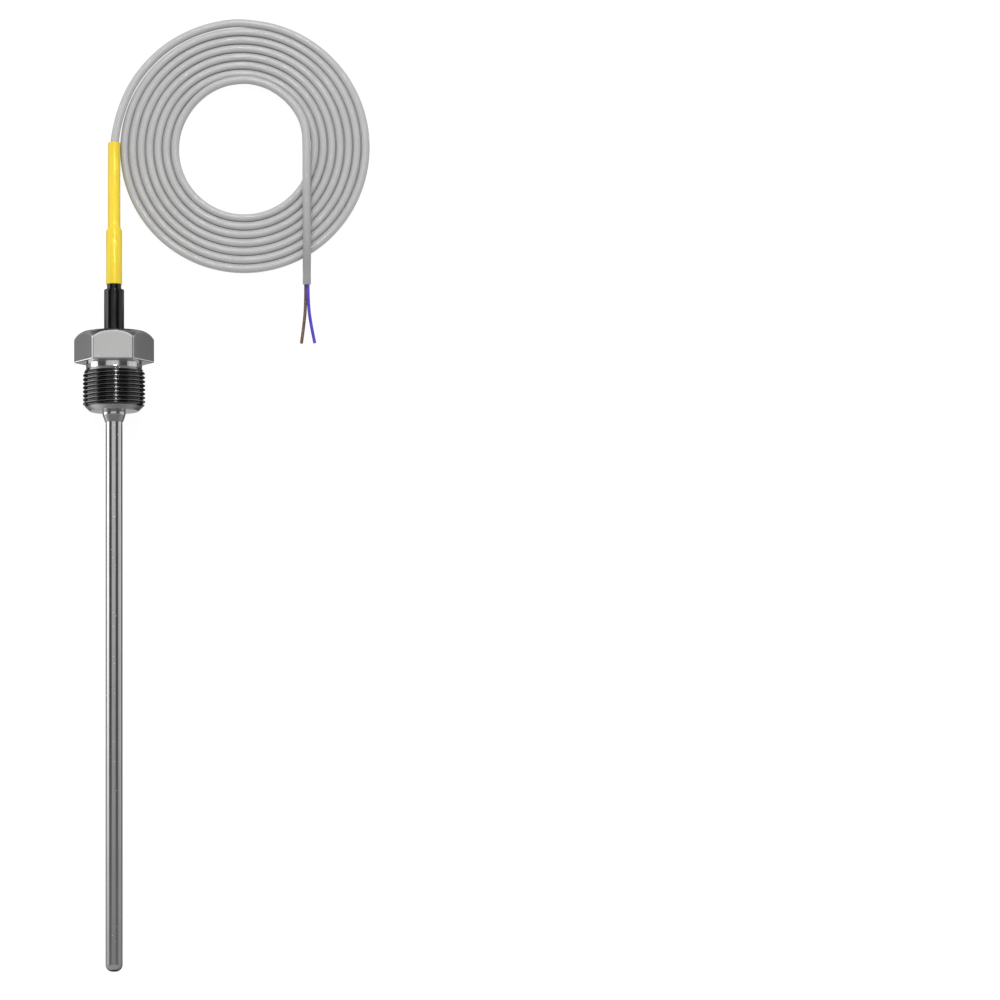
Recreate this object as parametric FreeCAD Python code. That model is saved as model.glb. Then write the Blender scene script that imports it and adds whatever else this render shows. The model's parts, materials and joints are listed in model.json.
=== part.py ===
import FreeCAD, Part
import math
import os

# Screw-in resistance temperature sensor with a long measuring stem and a coiled
# two-core cable. All sizes are in millimetres.
#
# The sensor is first drawn upright about its own axis: z is 0 at the sealing face
# under the hexagon, the stem hangs below it and the cable leaves above it. It is
# then laid on the floor, where it rests on one hexagon flat and on the tip of the
# stem. In the finished frame x runs to the right, y from the tip to the cable and
# z up from the floor.

V = FreeCAD.Vector

# Fits
FIT = 0.05                     # radial clearance between parts that sit in each other

# Measuring stem, one tube with a closed tip
STEM_LENGTH = 200.0            # from the end face of the thread to the tip
STEM_DIAMETER = 6.0
STEM_WALL = 0.4
TIP_THICKNESS = 0.8
TIP_CORNER = 2.5               # outside corner radius of the tip

# Turned fitting
HEX_ACROSS_FLATS = 25.0
HEX_HEIGHT = 11.05
HEX_CROWN_DIAMETER = 22.4      # circle where the rounded crown meets the top face
HEX_CROWN_RADIUS = 6.5         # of the crown in section
HEX_CROWN_SLOPE = 22.7         # of the crown at the top face, degrees
UNDERCUT_DIAMETER = 20.0
UNDERCUT_LENGTH = 2.6
THREAD_DIAMETER = 22.0
THREAD_LENGTH = 14.8           # undercut to end face, chamfer included
THREAD_CHAMFER = 2.5
NOSE_DIAMETER = 8.3
NOSE_COLLAR = 1.5
NOSE_CONE = 2.4

# Sleeves on the cable side
OUTER_SLEEVE_DIAMETER = 7.2
OUTER_SLEEVE_LENGTH = 15.55
OUTER_SLEEVE_EDGE = 0.35       # rounded mouth
OUTER_SLEEVE_LIP = 0.6         # sleeve standing past the tube's mouth
INNER_SLEEVE_DEPTH = 12.0      # length held inside the tube
INNER_SLEEVE_REACH = 20.1      # length under the label
LABEL_GAP = 1.9                # bare neck between outer sleeve and label
LABEL_LENGTH = 55.5
LABEL_LOWER_DIAMETER = 5.75
LABEL_UPPER_DIAMETER = 4.5
LABEL_STEP = 1.1               # tapered shoulder between the two diameters
LABEL_END_HEIGHT = 3.5         # centre of the label's far end above the floor

# Cable
CABLE_DIAMETER = 3.0
CABLE_DEPTH = 18.0             # jacket inside the tube, below the tube's mouth
WIRE_DIAMETER = 1.05
CORE_DIAMETER = 0.5
TAIL_WIRE_SPACING = 1.1        # between the two wires at the stripped end

# Coil, seen from above it winds clockwise and inwards
COIL_CENTRE = (46.1, 81.0)     # from the sealing face, along x and y
COIL_TURNS = 7
COIL_PITCH = 3.05
COIL_START = 45.22             # centre of the cable at 12 o'clock, first pass
COIL_RELIEF = 0.35             # set-back of the band's edges beside the loose ends

# Points of the loose cable, from the coil's centre; z above the floor.
LEAD_ROUTE = [
    (-46.1, 6.7, 3.5), (-44.1, 15.6, 3.0), (-38.0, 27.0, 2.0),
    (-27.0, 37.7, 1.5), (-9.4, 45.22, 1.5), (0.0, 45.22, 1.5),
]
TAIL_ROUTE = [
    (0.0, 23.87, 1.5), (4.4, 23.87, 1.5), (11.1, 21.65, 2.0), (18.2, 15.9, 2.9),
    (22.7, 7.8, 4.1), (23.3, -2.2, 4.75), (23.1, -14.7, 4.8), (23.2, -27.2, 4.8),
    (23.1, -38.9, 4.75), (23.0, -45.8, 2.35), (23.0, -50.4, 1.62),
]
# Points of the stripped wires after the jacket's end, sideways, onwards and up.
BROWN_ROUTE = [(-0.95, 13.1, 0.56), (-2.05, 21.5, 0.56)]
VIOLET_ROUTE = [(1.4, 13.1, 0.56), (2.8, 21.4, 0.56)]
WIRE_FIRST_RUN = 5.5

# Inside the stem
WIRE_OFFSET = 0.95             # each wire from the axis
POTTING_LENGTH = 16.0
CHIP_SIZE = (2.0, 0.65, 2.4)   # wide, thick, tall
CHIP_HEIGHT = 3.0              # lower edge above the inside of the tip
BEAD_SIZE = (2.0, 0.45, 0.9)
LEAD_DIAMETER = 0.25
LEAD_LENGTH = 9.0
CRIMP_DIAMETER = 1.0
CRIMP_LENGTH = 6.0
STRIP_LENGTH = 3.0             # bare core inside the crimp
SPLICE_TUBE_DIAMETER = 1.7
SPLICE_TUBE_OVERLAP = 3.0      # over the wire, above the crimp
PASTE_HEIGHT = 13.0            # heat paste above the inside of the tip

# Derived places along the sensor's axis
TUBE_RADIUS = STEM_DIAMETER / 2
BORE_RADIUS = TUBE_RADIUS - STEM_WALL
END_FACE = -(UNDERCUT_LENGTH + THREAD_LENGTH)
TIP = END_FACE - STEM_LENGTH
TIP_INSIDE = TIP + TIP_THICKNESS
SLEEVE_TOP = HEX_HEIGHT + OUTER_SLEEVE_LENGTH
TUBE_TOP = SLEEVE_TOP - OUTER_SLEEVE_LIP
LABEL_FOOT = SLEEVE_TOP + LABEL_GAP
JACKET_END = TUBE_TOP - CABLE_DEPTH
INNER_SLEEVE_RADIUS = BORE_RADIUS - FIT


def solve(function, low, high):
    """Root of a steadily growing function between two bounds."""
    for _ in range(60):
        middle = (low + high) / 2
        if function(middle) < 0:
            low = middle
        else:
            high = middle
    return (low + high) / 2


# The lying pose: the flat's edge at the sealing face and the tip touch the floor.
TIP_FLAT = TUBE_RADIUS - TIP_CORNER
TILT = solve(lambda a: TIP_CORNER + TIP_FLAT * math.cos(a) - (TIP + TIP_CORNER) * math.sin(a)
             - HEX_ACROSS_FLATS / 2 * math.cos(a), 0.0, 0.3)
SEAL_HEIGHT = HEX_ACROSS_FLATS / 2 * math.cos(TILT)


def turned(outline):
    """Solid turned about the z axis from (radius, z) points."""
    points = [V(r, 0, z) for r, z in outline]
    face = Part.Face(Part.makePolygon(points + points[:1]))
    return face.revolve(V(0, 0, 0), V(0, 0, 1), 360)


def rod(radius, bottom, top, x=0.0, y=0.0):
    """Upright cylinder between two heights."""
    return Part.makeCylinder(radius, top - bottom, V(x, y, bottom))


def pipe(outer, inner, bottom, top, x=0.0, y=0.0):
    """Upright tube between two heights."""
    return rod(outer, bottom, top, x, y).cut(rod(inner, bottom, top, x, y))


def bullet(radius, bottom, top, corner):
    """Upright cylinder with a rounded lower edge."""
    body = rod(radius, bottom, top)
    edge = [e for e in body.Edges if e.BoundBox.ZMax < bottom + 0.01]
    return body.makeFillet(corner, edge)


def block(size, bottom, y):
    """Upright block, centred across, its near face at y."""
    wide, thick, tall = size
    return Part.makeBox(wide, thick, tall, V(-wide / 2, y, bottom))


def make_stem():
    outside = bullet(TUBE_RADIUS, TIP, TUBE_TOP, TIP_CORNER)
    inside = bullet(BORE_RADIUS, TIP_INSIDE, TUBE_TOP, TIP_CORNER - STEM_WALL)
    return outside.cut(inside)


def crown_cover():
    """Turned blank whose rounded crown takes off the hexagon's upper corners."""
    start = math.radians(90 - HEX_CROWN_SLOPE)
    rim = V(HEX_CROWN_DIAMETER / 2, 0, HEX_HEIGHT)
    centre = rim - V(math.cos(start), 0, math.sin(start)) * HEX_CROWN_RADIUS
    middle = centre + V(math.cos(start / 2), 0, math.sin(start / 2)) * HEX_CROWN_RADIUS
    side = centre + V(HEX_CROWN_RADIUS, 0, 0)
    straight = Part.makePolygon([rim, V(0, 0, HEX_HEIGHT), V(0, 0, 0), V(side.x, 0, 0), side])
    outline = Part.Wire([Part.Arc(side, middle, rim).toShape(), *straight.Edges])
    return Part.Face(outline).revolve(V(0, 0, 0), V(0, 0, 1), 360)


def make_fitting():
    corner = HEX_ACROSS_FLATS / math.sqrt(3)
    corners = [V(corner * math.cos(math.radians(60 * k)), corner * math.sin(math.radians(60 * k)), 0)
               for k in range(7)]
    prism = Part.Face(Part.makePolygon(corners)).extrude(V(0, 0, HEX_HEIGHT))
    hexagon = prism.common(crown_cover())
    thread = THREAD_DIAMETER / 2
    neck = UNDERCUT_DIAMETER / 2
    nose = NOSE_DIAMETER / 2
    bore = TUBE_RADIUS + FIT
    spigot = turned([
        (0, 0), (neck, 0), (neck, -UNDERCUT_LENGTH),
        (thread, -UNDERCUT_LENGTH - (thread - neck)), (thread, END_FACE + THREAD_CHAMFER),
        (thread - THREAD_CHAMFER, END_FACE), (nose, END_FACE), (nose, END_FACE - NOSE_COLLAR),
        (bore + 0.15, END_FACE - NOSE_COLLAR - NOSE_CONE), (0, END_FACE - NOSE_COLLAR - NOSE_CONE),
    ])
    hole = rod(bore, END_FACE - NOSE_COLLAR - NOSE_CONE, HEX_HEIGHT)
    return hexagon.fuse(spigot).removeSplitter().cut(hole)


def make_outer_sleeve():
    body = rod(OUTER_SLEEVE_DIAMETER / 2, HEX_HEIGHT, SLEEVE_TOP)
    mouth = [e for e in body.Edges if e.BoundBox.ZMin > SLEEVE_TOP - 0.01]
    body = body.makeFillet(OUTER_SLEEVE_EDGE, mouth)
    body = body.cut(rod(TUBE_RADIUS + FIT, HEX_HEIGHT, TUBE_TOP))
    return body.cut(rod(INNER_SLEEVE_RADIUS + FIT, TUBE_TOP, SLEEVE_TOP))


def make_insides():
    """Everything sealed in the stem, from the jacket's end down to the chip."""
    chip_foot = TIP_INSIDE + CHIP_HEIGHT
    chip_top = chip_foot + CHIP_SIZE[2]
    lead_top = chip_top + LEAD_LENGTH
    crimp_foot = lead_top - CRIMP_LENGTH / 2
    crimp_top = crimp_foot + CRIMP_LENGTH
    wire_foot = crimp_top
    core_foot = crimp_top - STRIP_LENGTH + 0.2
    tube_top = crimp_top + SPLICE_TUBE_OVERLAP
    wire, core = WIRE_DIAMETER / 2, CORE_DIAMETER / 2
    thick = CHIP_SIZE[1]
    pieces = {}
    pieces["sensing_chip"] = block(CHIP_SIZE, chip_foot, -thick / 2)
    bead = block(BEAD_SIZE, chip_top - BEAD_SIZE[2], thick / 2)
    pieces["chip_bead"] = bead.makeFillet(0.2, [e for e in bead.Edges if e.BoundBox.YMin > thick / 2 + 0.4])
    for name, side in (("brown", -1), ("violet", 1)):
        x = side * WIRE_OFFSET
        pieces[name + "_chip_lead"] = rod(LEAD_DIAMETER / 2, chip_top, lead_top - 0.1, x)
        pieces[name + "_crimp"] = pipe(CRIMP_DIAMETER / 2, core + FIT, crimp_foot, crimp_top, x)
        pieces[name + "_splice_tube"] = pipe(SPLICE_TUBE_DIAMETER / 2, wire + FIT, crimp_foot - 1.0, tube_top, x)
        pieces[name + "_stem_wire"] = pipe(wire, core + FIT, wire_foot, JACKET_END, x)
        pieces[name + "_stem_core"] = rod(core, core_foot, JACKET_END, x)
    potting = rod(BORE_RADIUS - FIT, JACKET_END - POTTING_LENGTH, JACKET_END)
    paste = bullet(BORE_RADIUS - FIT, TIP_INSIDE + FIT, TIP_INSIDE + PASTE_HEIGHT, TIP_CORNER - STEM_WALL - FIT)
    wide, thick, tall = CHIP_SIZE
    room = (wide + 2 * FIT, thick + BEAD_SIZE[1] + 2 * FIT, tall + 2 * FIT)
    paste = paste.cut(block(room, chip_foot - FIT, -thick / 2 - FIT))
    for side in (-1, 1):
        x = side * WIRE_OFFSET
        potting = potting.cut(rod(wire + FIT, JACKET_END - POTTING_LENGTH, JACKET_END, x))
        paste = paste.cut(rod(LEAD_DIAMETER / 2 + FIT, chip_top, crimp_foot - 1.0, x))
        paste = paste.cut(rod(SPLICE_TUBE_DIAMETER / 2 + FIT, crimp_foot - 1.0, lead_top + 20, x))
    pieces["potting_plug"] = potting
    pieces["heat_paste"] = paste
    return pieces


class Droop:
    """Centre line of the cable from the tube down to the label's far end.

    It runs straight along the stem as far as the label's foot (station 0) and then
    in two equal bends, first downwards and then back to level.
    """

    def __init__(self, foot, drop):
        self.foot = foot
        self.axis = V(0, math.cos(TILT), math.sin(TILT))
        fall = lambda a: (math.cos(TILT) + 1 - 2 * math.cos(a)) / (TILT + 2 * a) - drop / LABEL_LENGTH
        self.dip = solve(fall, 0.05, 1.2)
        self.radius = LABEL_LENGTH / (TILT + 2 * self.dip)
        self.first = self.radius * (TILT + self.dip)
        self.low_centre = foot + V(0, math.sin(TILT), -math.cos(TILT)) * self.radius
        bend = self.station(self.first)[0]
        self.high_centre = bend + V(0, math.sin(self.dip), math.cos(self.dip)) * self.radius

    def station(self, s):
        """Point and direction at a length along the line."""
        if s <= 0:
            return self.foot + self.axis * s, self.axis
        if s <= self.first:
            slope = TILT - s / self.radius
            return (self.low_centre + V(0, -math.sin(slope), math.cos(slope)) * self.radius,
                    V(0, math.cos(slope), math.sin(slope)))
        slope = -self.dip + (s - self.first) / self.radius
        return (self.high_centre + V(0, math.sin(slope), -math.cos(slope)) * self.radius,
                V(0, math.cos(slope), math.sin(slope)))

    def disc(self, s, radius):
        point, direction = self.station(s)
        return Part.Face(Part.Wire(Part.makeCircle(radius, point, direction)))

    def solid(self, start, end, radius):
        """Round bar that follows the line between two stations."""
        cuts = [start] + [s for s in (0.0, self.first) if start < s < end] + [end]
        bars = []
        for a, b in zip(cuts, cuts[1:]):
            face = self.disc(a, radius)
            turn = math.degrees((b - a) / self.radius)
            if b <= 0:
                bars.append(face.extrude(self.axis * (b - a)))
            elif b <= self.first:
                bars.append(face.revolve(self.low_centre, V(-1, 0, 0), turn))
            else:
                bars.append(face.revolve(self.high_centre, V(1, 0, 0), turn))
        return bars[0].multiFuse(bars[1:]).removeSplitter() if len(bars) > 1 else bars[0]

    def shoulder(self, start, end, first_radius, last_radius):
        """Short tapered bar between two stations."""
        rims = [Part.Wire(Part.makeCircle(r, *self.station(s)))
                for s, r in ((start, first_radius), (end, last_radius))]
        return Part.makeLoft(rims, True, True)


def make_label(line):
    """Shrunk label: wide over the inner sleeve, narrow over the bare cable."""
    wide, narrow = LABEL_LOWER_DIAMETER / 2, LABEL_UPPER_DIAMETER / 2
    over_sleeve, over_cable = INNER_SLEEVE_RADIUS + FIT, CABLE_DIAMETER / 2 + FIT
    step = INNER_SLEEVE_REACH + FIT
    body = line.solid(0.0, step, wide).multiFuse([
        line.shoulder(step, step + LABEL_STEP, wide, narrow),
        line.solid(step + LABEL_STEP, LABEL_LENGTH, narrow),
    ])
    body = body.cut(line.solid(0.0, step, over_sleeve))
    return body.cut(line.solid(step - 1.0, LABEL_LENGTH, over_cable))


def route_wire(points, name):
    """Straight runs joined by tangent arcs; prints the bend radii."""
    points = [V(*p) for p in points]
    edges, radii, start = [], [], points[0]
    for before, corner, after in zip(points, points[1:], points[2:]):
        back, on = before - corner, after - corner
        half_turn = (math.pi - back.getAngle(on)) / 2
        inset = 0.45 * min(back.Length, on.Length)
        radii.append(inset / math.tan(half_turn))
        back.normalize()
        on.normalize()
        entry, leave = corner + back * inset, corner + on * inset
        middle = (back + on).normalize()
        depth = radii[-1] * (1 / math.cos(half_turn) - 1)
        edges.append(Part.makeLine(start, entry))
        edges.append(Part.Arc(entry, corner + middle * depth, leave).toShape())
        start = leave
    edges.append(Part.makeLine(start, points[-1]))
    wire = Part.Wire(edges)
    print(f"{name}: length {wire.Length:.1f}, bend radii {[round(r, 1) for r in radii]}")
    return wire


def bar_along(points, radius, name):
    """Round bar along a route."""
    wire = route_wire(points, name)
    first, second = V(*points[0]), V(*points[1])
    rim = Part.Wire(Part.makeCircle(radius, first, second - first))
    return wire.makePipeShell([rim], True, False)


def coil_half(centre, first_radius, clockwise_from_top):
    """Half of the wound band: flat below, one bevelled ridge for each turn above."""
    half, flat = COIL_PITCH / 2, CABLE_DIAMETER / 2 * math.tan(math.radians(22.5))
    middle = CABLE_DIAMETER / 2
    inner_turn = first_radius - (COIL_TURNS - 1) * COIL_PITCH
    turns = [inner_turn + k * COIL_PITCH for k in range(COIL_TURNS)]
    sides = [turns[0] - half + COIL_RELIEF] + [r + half for r in turns[:-1]] + [turns[-1] + half - COIL_RELIEF]
    upper = [(sides[0], middle + flat)]
    for r, side in zip(turns, sides[1:]):
        upper += [(r - flat, CABLE_DIAMETER), (r + flat, CABLE_DIAMETER), (side, middle + flat)]
    outline = upper + [(sides[-1], 0.0), (sides[0], 0.0)]
    cx, cy = centre
    points = [V(cx, cy + r, z) for r, z in outline]
    face = Part.Face(Part.makePolygon(points + points[:1]))
    return face.revolve(V(cx, cy, 0), V(0, 0, 1), -180 if clockwise_from_top else 180)


def make_coil(centre):
    """Flat spiral from two half bands whose centres lie half a pitch apart."""
    x, y = centre
    first_radius = COIL_START - COIL_PITCH / 4
    right = coil_half((x, y + COIL_PITCH / 4), first_radius, True)
    left = coil_half((x, y - COIL_PITCH / 4), first_radius - COIL_PITCH / 2, False)
    return right.fuse(left).removeSplitter()


def make_wire_end(jacket_end, heading, side, route, name):
    """Insulation and core of one stripped wire, first straight on, then along its route."""
    across = V(-heading.y, heading.x, 0).normalize()
    start = jacket_end + across * (side * TAIL_WIRE_SPACING / 2)
    points = [start, start + heading * WIRE_FIRST_RUN]
    points += [V(jacket_end.x + across, jacket_end.y - onward, up) for across, onward, up in route]
    points = [tuple(p) for p in points]
    core = bar_along(points, CORE_DIAMETER / 2, name + " core")
    room = bar_along(points, CORE_DIAMETER / 2 + FIT, name + " bore")
    return bar_along(points, WIRE_DIAMETER / 2, name).cut(room), core


def make_sensor():
    """All parts in the finished frame, by name."""
    upright = {"threaded_fitting": make_fitting(), "stem_tube": make_stem(), "outer_sleeve": make_outer_sleeve()}
    upright.update(make_insides())

    # Cable side, laid out from the sealing face before the frame's origin is known
    seal = V(0, 0, SEAL_HEIGHT)
    axis = V(0, math.cos(TILT), math.sin(TILT))
    foot = seal + axis * LABEL_FOOT
    line = Droop(foot, foot.z - LABEL_END_HEIGHT)
    far_end = line.station(LABEL_LENGTH)[0]
    tip_reach = -(TIP + TIP_CORNER) * math.cos(TILT) + TIP_FLAT * math.sin(TILT) + TIP_CORNER
    shift = V(0, (tip_reach - far_end.y) / 2, 0)
    print(f"tilt {math.degrees(TILT):.3f} deg, seal at y {shift.y:.3f} z {SEAL_HEIGHT:.3f}, "
          f"label bend radius {line.radius:.1f}, label end {far_end + shift}")

    lying = FreeCAD.Placement(seal + shift, FreeCAD.Rotation(V(1, 0, 0), math.degrees(TILT) - 90))
    parts = {}
    for name, shape in upright.items():
        shape.Placement = lying.multiply(shape.Placement)
        parts[name] = shape

    line = Droop(foot + shift, foot.z - LABEL_END_HEIGHT)
    far_end = line.station(LABEL_LENGTH)[0]
    parts["label_sleeve"] = make_label(line)
    sleeve_start = TUBE_TOP - INNER_SLEEVE_DEPTH - LABEL_FOOT
    parts["inner_sleeve"] = line.solid(sleeve_start, INNER_SLEEVE_REACH, INNER_SLEEVE_RADIUS).cut(
        line.solid(sleeve_start - 1, INNER_SLEEVE_REACH + 1, CABLE_DIAMETER / 2 + FIT))
    parts["cable_root"] = line.solid(JACKET_END - LABEL_FOOT, LABEL_LENGTH, CABLE_DIAMETER / 2)

    centre = V(COIL_CENTRE[0], COIL_CENTRE[1] + shift.y, 0)
    on_floor = lambda route: [tuple(centre + V(*p)) for p in route]
    lead = [tuple(far_end)] + on_floor(LEAD_ROUTE)
    tail = on_floor(TAIL_ROUTE)
    parts["cable_lead"] = bar_along(lead, CABLE_DIAMETER / 2, "cable_lead")
    parts["cable_coil"] = make_coil((centre.x, centre.y))
    parts["cable_tail"] = bar_along(tail, CABLE_DIAMETER / 2, "cable_tail")
    heading = (V(*tail[-1]) - V(*tail[-2])).normalize()
    for name, side, route in (("brown", -1, BROWN_ROUTE), ("violet", 1, VIOLET_ROUTE)):
        wire, core = make_wire_end(V(*tail[-1]), heading, side, route, name + "_wire_end")
        parts[name + "_wire_end"], parts[name + "_core_end"] = wire, core
    return parts


os.makedirs("parts", exist_ok=True)
for name, shape in make_sensor().items():
    shape.exportStep(f"parts/{name}.step")
    box = shape.BoundBox
    print(f"{name}: solids {len(shape.Solids)}, valid {shape.isValid()}, volume {shape.Volume:.2f}, "
          f"y {box.YMin:.2f} to {box.YMax:.2f}, z {box.ZMin:.2f} to {box.ZMax:.2f}")
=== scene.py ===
"""Looks of a screw-in temperature sensor that lies on a pale floor with its cable coiled.

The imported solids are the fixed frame. The turned pieces are modelled upright, in
millimetres, about the sensor's own axis: zero is the sealing face under the hexagon,
the stem hangs below it and the cable leaves above it. Each finished piece is then
settled in the frame. The loose cable follows the route of its solids, in metres.
"""
import json
import logging
import math
from dataclasses import dataclass
from enum import Enum
from typing import Any, Sequence

import bpy
from mathutils import Euler, Matrix, Vector


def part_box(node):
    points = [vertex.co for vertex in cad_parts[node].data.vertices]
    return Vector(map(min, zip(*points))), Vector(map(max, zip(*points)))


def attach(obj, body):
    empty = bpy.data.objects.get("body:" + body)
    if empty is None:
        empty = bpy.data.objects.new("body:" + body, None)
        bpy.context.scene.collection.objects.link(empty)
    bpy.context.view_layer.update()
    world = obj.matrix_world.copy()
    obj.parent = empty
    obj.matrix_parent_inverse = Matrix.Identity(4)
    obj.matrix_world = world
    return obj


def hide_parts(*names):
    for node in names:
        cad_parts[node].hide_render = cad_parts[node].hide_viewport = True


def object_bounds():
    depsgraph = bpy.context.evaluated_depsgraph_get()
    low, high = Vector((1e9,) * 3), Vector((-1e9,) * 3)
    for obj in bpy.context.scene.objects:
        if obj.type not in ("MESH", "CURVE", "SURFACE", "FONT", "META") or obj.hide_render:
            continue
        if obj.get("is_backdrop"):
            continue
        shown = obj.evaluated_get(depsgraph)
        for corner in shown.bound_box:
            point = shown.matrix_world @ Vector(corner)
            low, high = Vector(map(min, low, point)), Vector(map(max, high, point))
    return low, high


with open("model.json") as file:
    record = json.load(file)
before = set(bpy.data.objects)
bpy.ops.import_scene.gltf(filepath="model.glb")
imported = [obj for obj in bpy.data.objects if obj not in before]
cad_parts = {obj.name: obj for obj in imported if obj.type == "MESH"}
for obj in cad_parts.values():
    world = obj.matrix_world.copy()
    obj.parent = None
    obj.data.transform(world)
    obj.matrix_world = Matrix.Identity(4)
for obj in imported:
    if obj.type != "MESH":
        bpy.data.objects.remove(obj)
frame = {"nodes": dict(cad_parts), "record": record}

LOG = logging.getLogger("sensor")
MM = 0.001
BODY = "root"
FULL_TURN = 2 * math.pi
SEAM_GAP = 0.002  # doubles on the bench, in millimetres
CURVE_STEPS = 6  # of a curve between its points, and round a quarter of its tube

Piece = bpy.types.Object
Colour = tuple[float, float, float]
Point2 = tuple[float, float]
Point3 = tuple[float, float, float]
Edge = tuple[float, float]  # where a soft step starts and ends
Ramp = tuple[float, float, float]  # the same, and the height of the step
Band = tuple[float, float, float]  # two bounds and the blur of both


class Joining(Enum):
    """How a second solid acts on the first."""

    KEEP_COMMON = "INTERSECT"
    ADD = "UNION"
    CUT = "DIFFERENCE"


class Bench:
    """Modelling operators, used on one piece at a time as by hand."""

    @staticmethod
    def clear() -> None:
        """Leaves edit mode and deselects everything."""
        if bpy.context.mode != "OBJECT":
            Bench.leave_edit()
        bpy.ops.object.select_all(action="DESELECT")

    @staticmethod
    def pick(piece: Piece) -> None:
        """Makes a piece the only selected and the active one.

        Args:
            piece: The piece to work on.
        """
        Bench.clear()
        piece.select_set(True)
        bpy.context.view_layer.objects.active = piece

    @staticmethod
    def edit(action: str = "SELECT") -> None:
        """Opens the active piece in edit mode with all of it selected, or none."""
        bpy.ops.object.mode_set(mode="EDIT")
        bpy.ops.mesh.select_all(action=action)

    @staticmethod
    def leave_edit() -> None:
        """Goes back to object mode."""
        bpy.ops.object.mode_set(mode="OBJECT")

    @staticmethod
    def started(name: str) -> Piece:
        """Names the primitive that was just added.

        Args:
            name: The piece's name.

        Returns:
            The new object.
        """
        piece = bpy.context.active_object
        piece.name = name
        piece.data.name = name
        return piece

    @staticmethod
    def trace(name: str, outline: Sequence[Point2]) -> Piece:
        """Draws an open outline in the xz plane, one extruded vertex after another.

        Args:
            name: The piece's name.
            outline: Radius and height of each corner, in millimetres.

        Returns:
            An object of edges alone.
        """
        Bench.clear()
        bpy.ops.mesh.primitive_plane_add(size=1.0)
        piece = Bench.started(name)
        Bench.edit()
        bpy.ops.mesh.select_mode(type="VERT")
        bpy.ops.mesh.merge(type="CENTER")
        here = outline[0]
        bpy.ops.transform.translate(value=(here[0], 0.0, here[1]))
        for corner in outline[1:]:
            step = (corner[0] - here[0], 0.0, corner[1] - here[1])
            bpy.ops.mesh.extrude_vertices_move(TRANSFORM_OT_translate={"value": step})
            here = corner
        Bench.leave_edit()
        return piece

    @staticmethod
    def turn(name: str, outline: Sequence[Point2], steps: int = 96) -> Piece:
        """Turns an outline about the upright axis, as on a lathe.

        Args:
            name: The piece's name.
            outline: Radius and height of each corner, in millimetres.
            steps: Facets round the axis.

        Returns:
            The turned piece with its faces outwards.
        """
        piece = Bench.trace(name, outline)
        Bench.edit()
        bpy.ops.mesh.spin(steps=steps, angle=FULL_TURN, center=(0, 0, 0), axis=(0, 0, 1))
        Bench.close_seams()
        return piece

    @staticmethod
    def close_seams(gap: float = SEAM_GAP, fill: bool = False) -> None:
        """Merges doubles of the piece in edit mode and turns its faces outwards.

        Args:
            gap: Distance below which two vertices are one.
            fill: Whether open ends are closed too.
        """
        bpy.ops.mesh.select_all(action="SELECT")
        bpy.ops.mesh.remove_doubles(threshold=gap)
        if fill:
            bpy.ops.mesh.fill_holes(sides=0)
            bpy.ops.mesh.select_all(action="SELECT")
        bpy.ops.mesh.normals_make_consistent(inside=False)
        Bench.leave_edit()

    @staticmethod
    def finish_modifier(piece: Piece, kind: str, **settings: Any) -> None:
        """Adds a modifier and applies it.

        Args:
            piece: The piece that it changes.
            kind: The modifier's type.
            settings: Its properties.
        """
        Bench.pick(piece)
        modifier = piece.modifiers.new(kind.lower(), kind)
        for key, value in settings.items():
            setattr(modifier, key, value)
        bpy.ops.object.modifier_apply(modifier=modifier.name)

    @staticmethod
    def join(piece: Piece, tool: Piece, how: Joining) -> None:
        """Combines a second solid with the piece and removes it."""
        Bench.finish_modifier(piece, "BOOLEAN", operation=how.value, solver="EXACT", object=tool)
        bpy.data.objects.remove(tool)

    @staticmethod
    def soften(piece: Piece, degrees: float = 40.0) -> None:
        """Smooths the shading across edges flatter than an angle."""
        Bench.pick(piece)
        bpy.ops.object.shade_smooth_by_angle(angle=math.radians(degrees))

    @staticmethod
    def settle(piece: Piece, place: Matrix) -> None:
        """Moves the piece to its place and applies that to its mesh.

        Args:
            piece: The finished piece.
            place: From its own measures to metres in the frame.
        """
        Bench.pick(piece)
        piece.matrix_basis = place @ piece.matrix_basis
        bpy.ops.object.transform_apply(location=True, rotation=True, scale=True)


def arc(centre: Point2, radius: float, start: float, end: float, count: int = 8) -> list[Point2]:
    """Points on an arc of an outline.

    Args:
        centre: Middle of the arc.
        radius: Its radius.
        start: First direction in degrees, from the outline's first axis.
        end: Last direction in degrees.
        count: Chords along the arc.

    Returns:
        The points from start to end.
    """
    turns = [math.radians(start + (end - start) * k / count) for k in range(count + 1)]
    return [(centre[0] + radius * math.cos(a), centre[1] + radius * math.sin(a)) for a in turns]


@dataclass(frozen=True)
class SensorAxis:
    """The sensor's own axis in the frame, read from the thread's mount."""

    origin: Vector
    tilt: float

    @classmethod
    def from_record(cls, record: dict, mount_depth: float) -> "SensorAxis":
        """Finds the axis.

        Args:
            record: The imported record.
            mount_depth: Distance of the mount below the sealing face, in millimetres.

        Returns:
            The axis with its origin in the sealing face.
        """
        mount = next(m for m in record["mounts"] if m["name"] == "process_thread")
        onwards = -Vector(mount["axis"])
        return cls(Vector(mount["pos_m"]) + onwards * mount_depth * MM, math.asin(onwards.z))

    @property
    def turn(self) -> Euler:
        """Rotation from the upright bench to the lying sensor."""
        return Euler((self.tilt - math.pi / 2, 0.0, 0.0))

    @property
    def place(self) -> Matrix:
        """Bench millimetres to metres in the frame."""
        return Matrix.Translation(self.origin) @ self.turn.to_matrix().to_4x4() @ Matrix.Scale(MM, 4)

    def station(self, height: float) -> Vector:
        """Point of the axis at a height above the sealing face, in metres."""
        return self.place @ Vector((0.0, 0.0, height))


AXIS = SensorAxis.from_record(frame["record"], mount_depth=9.25)


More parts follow.
